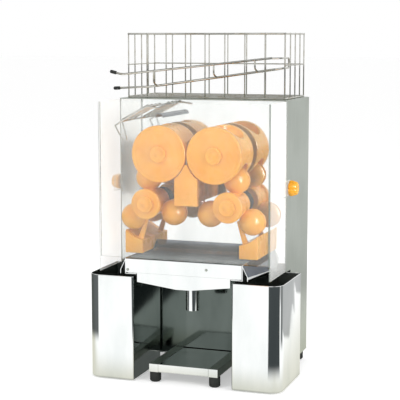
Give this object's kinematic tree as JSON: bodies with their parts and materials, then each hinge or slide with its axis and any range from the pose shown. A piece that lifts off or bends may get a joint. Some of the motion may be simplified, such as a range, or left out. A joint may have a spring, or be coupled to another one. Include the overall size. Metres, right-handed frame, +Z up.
{
  "type": "automatic citrus juicer",
  "caption": "Counter-top automatic citrus juicer: wire hopper, sloping feed lane, cupped drums against ball presses, clear cover, strainer over a spout, and waste bins beside a serving bay.",
  "frame": {"origin": "on the counter, under the middle of the machine's outline", "axes": "+X to the operator's right, +Y from the front to the back, +Z up"},
  "size_m": [0.464, 0.34, 0.797],
  "materials": {
    "polished_steel": "mirror polished",
    "brushed_steel": "satin",
    "dark_steel": "polished, seen dark",
    "chrome": "bright plated wire",
    "gear_steel": "machined",
    "amber_plastic": "moulded, satin gloss",
    "clear_plastic": "clear, polished edges",
    "black_rubber": "matt",
    "black_plastic": "fine grained",
    "motor_paint": "matt paint"
  },
  "bodies": {
    "frame": {"base_frame": "brushed_steel", "foot_front_left": "black_rubber", "foot_front_right": "black_rubber", "foot_rear_left": "black_rubber", "foot_rear_right": "black_rubber", "body_shell": "brushed_steel", "front_plate": "polished_steel", "bay_panel": "dark_steel", "back_panel": "brushed_steel", "drum_bearing_left": "black_plastic", "drum_bearing_right": "black_plastic", "press_bearing_left": "black_plastic", "press_bearing_right": "black_plastic", "peel_stripper_left": "amber_plastic", "peel_stripper_right": "amber_plastic", "peel_chute_left": "dark_steel", "peel_chute_right": "dark_steel", "bin_hanger_left": "brushed_steel", "bin_hanger_right": "brushed_steel", "bearing_plate": "brushed_steel", "gear_motor": "motor_paint", "wedge": "amber_plastic", "knife": "polished_steel", "cover_switch": "black_plastic", "splash_plate": "dark_steel", "feed_slide": "chrome", "feed_deflector": "dark_steel", "power_module": "black_plastic", "control_box": "black_plastic"},
    "drum_left": {"drum_left": "amber_plastic", "drum_shaft_left": "gear_steel", "drum_nut_left": "amber_plastic", "drum_gears_left": "gear_steel"},
    "drum_right": {"drum_right": "amber_plastic", "drum_shaft_right": "gear_steel", "drum_nut_right": "amber_plastic", "drum_gears_right": "gear_steel"},
    "press_left": {"ball_press_left": "amber_plastic", "press_shaft_left": "gear_steel", "press_nut_left": "amber_plastic", "press_gear_left": "gear_steel"},
    "press_right": {"ball_press_right": "amber_plastic", "press_shaft_right": "gear_steel", "press_nut_right": "amber_plastic", "press_gear_right": "gear_steel"},
    "pinion": {"drive_pinion": "gear_steel"},
    "cover": {"cover": "clear_plastic"},
    "knob_left": {"cover_knob_left": "amber_plastic"},
    "knob_right": {"cover_knob_right": "amber_plastic"},
    "bin_left": {"waste_bin_left": "polished_steel"},
    "bin_right": {"waste_bin_right": "polished_steel"},
    "strainer": {"strainer_tray": "polished_steel"},
    "collector": {"collector_tray": "polished_steel"},
    "drip_tray": {"drip_tray": "polished_steel", "stand_plate": "polished_steel"},
    "hopper": {"hopper_basket": "chrome", "feed_lane": "chrome", "guard_tip": "black_rubber", "rail_tip": "black_rubber"},
    "rocker": {"power_rocker": "black_plastic"}
  },
  "joints": [
    {"name": "drum_left_turn", "type": "hinge", "parent": "frame", "child": "drum_left", "pos_m": [-0.066, 0, 0.525], "axis": [0, 1, 0], "continuous": true},
    {"name": "drum_right_turn", "type": "hinge", "parent": "frame", "child": "drum_right", "pos_m": [0.066, 0, 0.525], "axis": [0, 1, 0], "continuous": true},
    {"name": "press_left_turn", "type": "hinge", "parent": "frame", "child": "press_left", "pos_m": [-0.098, 0, 0.40935], "axis": [0, 1, 0], "continuous": true},
    {"name": "press_right_turn", "type": "hinge", "parent": "frame", "child": "press_right", "pos_m": [0.098, 0, 0.40935], "axis": [0, 1, 0], "continuous": true},
    {"name": "pinion_turn", "type": "hinge", "parent": "frame", "child": "pinion", "pos_m": [0.1471, 0, 0.46822], "axis": [0, 1, 0], "continuous": true},
    {"name": "cover_slide", "type": "slide", "parent": "frame", "child": "cover", "axis": [0, -1, 0], "range_m": [0, 0.18]},
    {"name": "knob_left_turn", "type": "hinge", "parent": "frame", "child": "knob_left", "pos_m": [-0.205, -0.02, 0.445], "axis": [-1, 0, 0], "range_deg": [0, 360]},
    {"name": "knob_right_turn", "type": "hinge", "parent": "frame", "child": "knob_right", "pos_m": [0.205, -0.02, 0.445], "axis": [1, 0, 0], "range_deg": [0, 360]},
    {"name": "bin_left_slide", "type": "slide", "parent": "frame", "child": "bin_left", "axis": [0, -1, 0], "range_m": [0, 0.2]},
    {"name": "bin_right_slide", "type": "slide", "parent": "frame", "child": "bin_right", "axis": [0, -1, 0], "range_m": [0, 0.2]},
    {"name": "strainer_slide", "type": "slide", "parent": "frame", "child": "strainer", "axis": [0, -1, 0], "range_m": [0, 0.11]},
    {"name": "collector_slide", "type": "slide", "parent": "frame", "child": "collector", "axis": [0, -1, 0], "range_m": [0, 0.13]},
    {"name": "drip_tray_slide", "type": "slide", "parent": "frame", "child": "drip_tray", "axis": [0, -1, 0], "range_m": [0, 0.18]},
    {"name": "hopper_lift", "type": "slide", "parent": "frame", "child": "hopper", "axis": [0, 0, 1], "range_m": [0, 0.12]},
    {"name": "rocker_tilt", "type": "hinge", "parent": "frame", "child": "rocker", "pos_m": [-0.125, 0.162, 0.096], "axis": [1, 0, 0], "range_deg": [0, 16]}
  ],
  "couplings": [
    {"joint": "drum_right_turn", "follows": "drum_left_turn", "ratio": -1},
    {"joint": "press_left_turn", "follows": "drum_left_turn", "ratio": -1},
    {"joint": "press_right_turn", "follows": "drum_left_turn", "ratio": 1},
    {"joint": "pinion_turn", "follows": "drum_left_turn", "ratio": 2}
  ]
}
